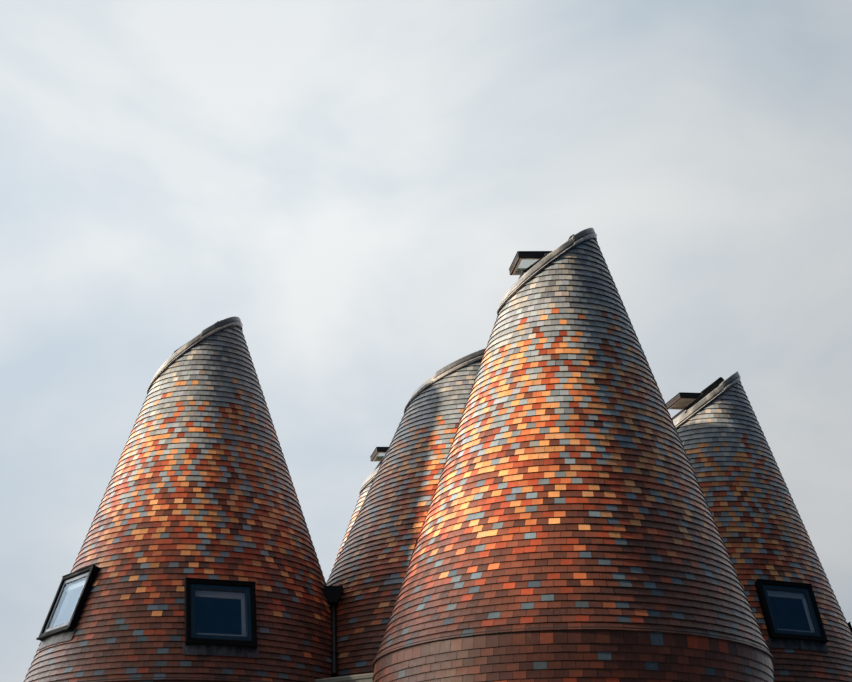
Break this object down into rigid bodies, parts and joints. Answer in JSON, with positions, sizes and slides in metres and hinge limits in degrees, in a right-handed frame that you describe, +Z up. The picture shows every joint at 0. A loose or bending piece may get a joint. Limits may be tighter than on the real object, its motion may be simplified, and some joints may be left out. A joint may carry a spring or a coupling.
{
  "type": "contemporary oast house with five tile-hung round towers",
  "caption": "House of round tile-hung towers joined by narrow links, each with a hollow cone cut by a sloping plane and a roof window.",
  "frame": {"origin": "middle of the plan's bounding box, on the ground", "axes": "+Z up; +Y from the front tower towards the rear tower, which is away from the viewer of the picture; +X to that viewer's right"},
  "size_m": [13.7677, 14.6178, 12.1422],
  "materials": {
    "plinth_concrete": "Pale grey concrete plinth",
    "floor_timber": "Timber floor",
    "drum_tiles": "Dark red-brown hung clay tiles",
    "clay_tiles": "Hung clay tiles in six shades from dark red to blue-grey",
    "plaster": "White plastered wall",
    "lead_capping": "Weathered dark lead capping",
    "lead_deck": "Grey sheet roof covering",
    "lead_apron": "Dark lead apron under a window",
    "black_frame": "Black window frame",
    "window_glass": "Dark blue window glass",
    "roof_glass": "Pale green roof window glass",
    "grey_cladding": "Dark grey cladding of a roof window frame",
    "pine_sash": "Pale pine underside of a roof window sash",
    "grey_render": "Grey-green rendered link wall",
    "pale_coping": "Pale grey coping",
    "black_rainwater": "Black rainwater hopper and pipe"
  },
  "bodies": {
    "root": {"ground_slab": "plinth_concrete", "first_floors": "floor_timber", "second_floors": "floor_timber", "front_drum_wall_left": "drum_tiles", "front_drum_wall_right": "drum_tiles", "left_drum_wall_left": "drum_tiles", "left_drum_wall_right": "drum_tiles", "right_drum_wall_left": "drum_tiles", "right_drum_wall_right": "drum_tiles", "rear_drum_wall_left": "drum_tiles", "rear_drum_wall_right": "drum_tiles", "centre_drum_piers": "plaster", "centre_door_heads": "plaster", "front_cone_wall": "clay_tiles", "front_rim_capping": "lead_capping", "front_roof_deck": "lead_deck", "left_cone_wall": "clay_tiles", "left_rim_capping": "lead_capping", "left_roof_deck": "lead_deck", "right_cone_wall": "clay_tiles", "right_rim_capping": "lead_capping", "right_roof_deck": "lead_deck", "rear_cone_wall": "clay_tiles", "rear_rim_capping": "lead_capping", "rear_roof_deck": "lead_deck", "centre_cone_wall": "clay_tiles", "centre_rim_capping": "lead_capping", "centre_roof_deck": "lead_deck", "cone_window_frames": "black_frame", "drum_window_frames": "black_frame", "link_window_frames": "black_frame", "link_doors": "black_frame", "cone_window_glass": "window_glass", "drum_window_glass": "window_glass", "link_glass": "window_glass", "cone_window_aprons": "lead_apron", "roof_window_frames": "grey_cladding", "roof_window_sashes": "pine_sash", "roof_window_glass": "roof_glass", "link_walls": "grey_render", "link_copings": "pale_coping", "link_roofs": "lead_deck", "rain_hopper": "black_rainwater", "downpipe": "black_rainwater"}
  },
  "joints": []
}
